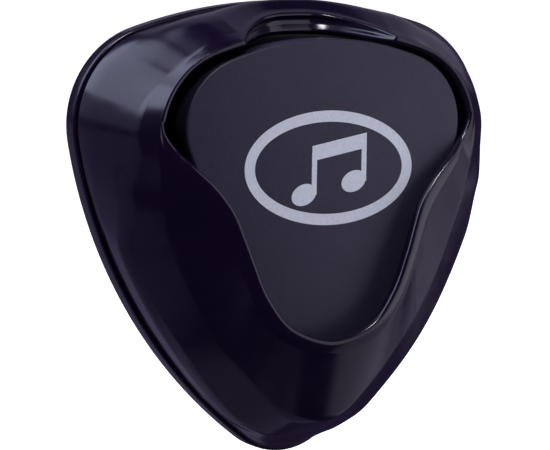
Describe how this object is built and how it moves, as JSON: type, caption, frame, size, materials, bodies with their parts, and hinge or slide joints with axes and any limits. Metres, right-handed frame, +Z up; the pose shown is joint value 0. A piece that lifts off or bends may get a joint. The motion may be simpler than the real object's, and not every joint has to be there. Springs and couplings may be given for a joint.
{
  "type": "pick holder",
  "caption": "Pick-shaped plastic holder that grips guitar picks under a U-shaped lip, against a sprung plate, and sticks to a flat surface.",
  "frame": {"origin": "centre of the holder on the adhesive's rear face, at mid height of the outline", "axes": "+X to the right and +Z up as the holder is seen on its surface, with the tip at -Z; the front faces -Y"},
  "size_m": [0.0406, 0.0133, 0.0413],
  "materials": {
    "shell": "moulded, polished, near black",
    "back": "moulded, near black",
    "plate": "fine matt texture, dark grey",
    "foam": "closed-cell foam with adhesive",
    "steel": "bright steel"
  },
  "bodies": {
    "housing": {"front_shell": "shell", "back_plate": "back", "adhesive_pad": "foam", "screw_left": "steel", "screw_right": "steel", "screw_bottom": "steel", "spring_left": "steel", "spring_right": "steel"},
    "plate": {"pressure_plate": "plate"}
  },
  "joints": [
    {"name": "plate_slide", "type": "slide", "parent": "housing", "child": "plate", "axis": [0, 1, 0], "range_m": [0, 0.0042], "stiffness_N_per_m": 350, "springref_m": -0.003, "deforming": ["spring_left", "spring_right"]}
  ]
}
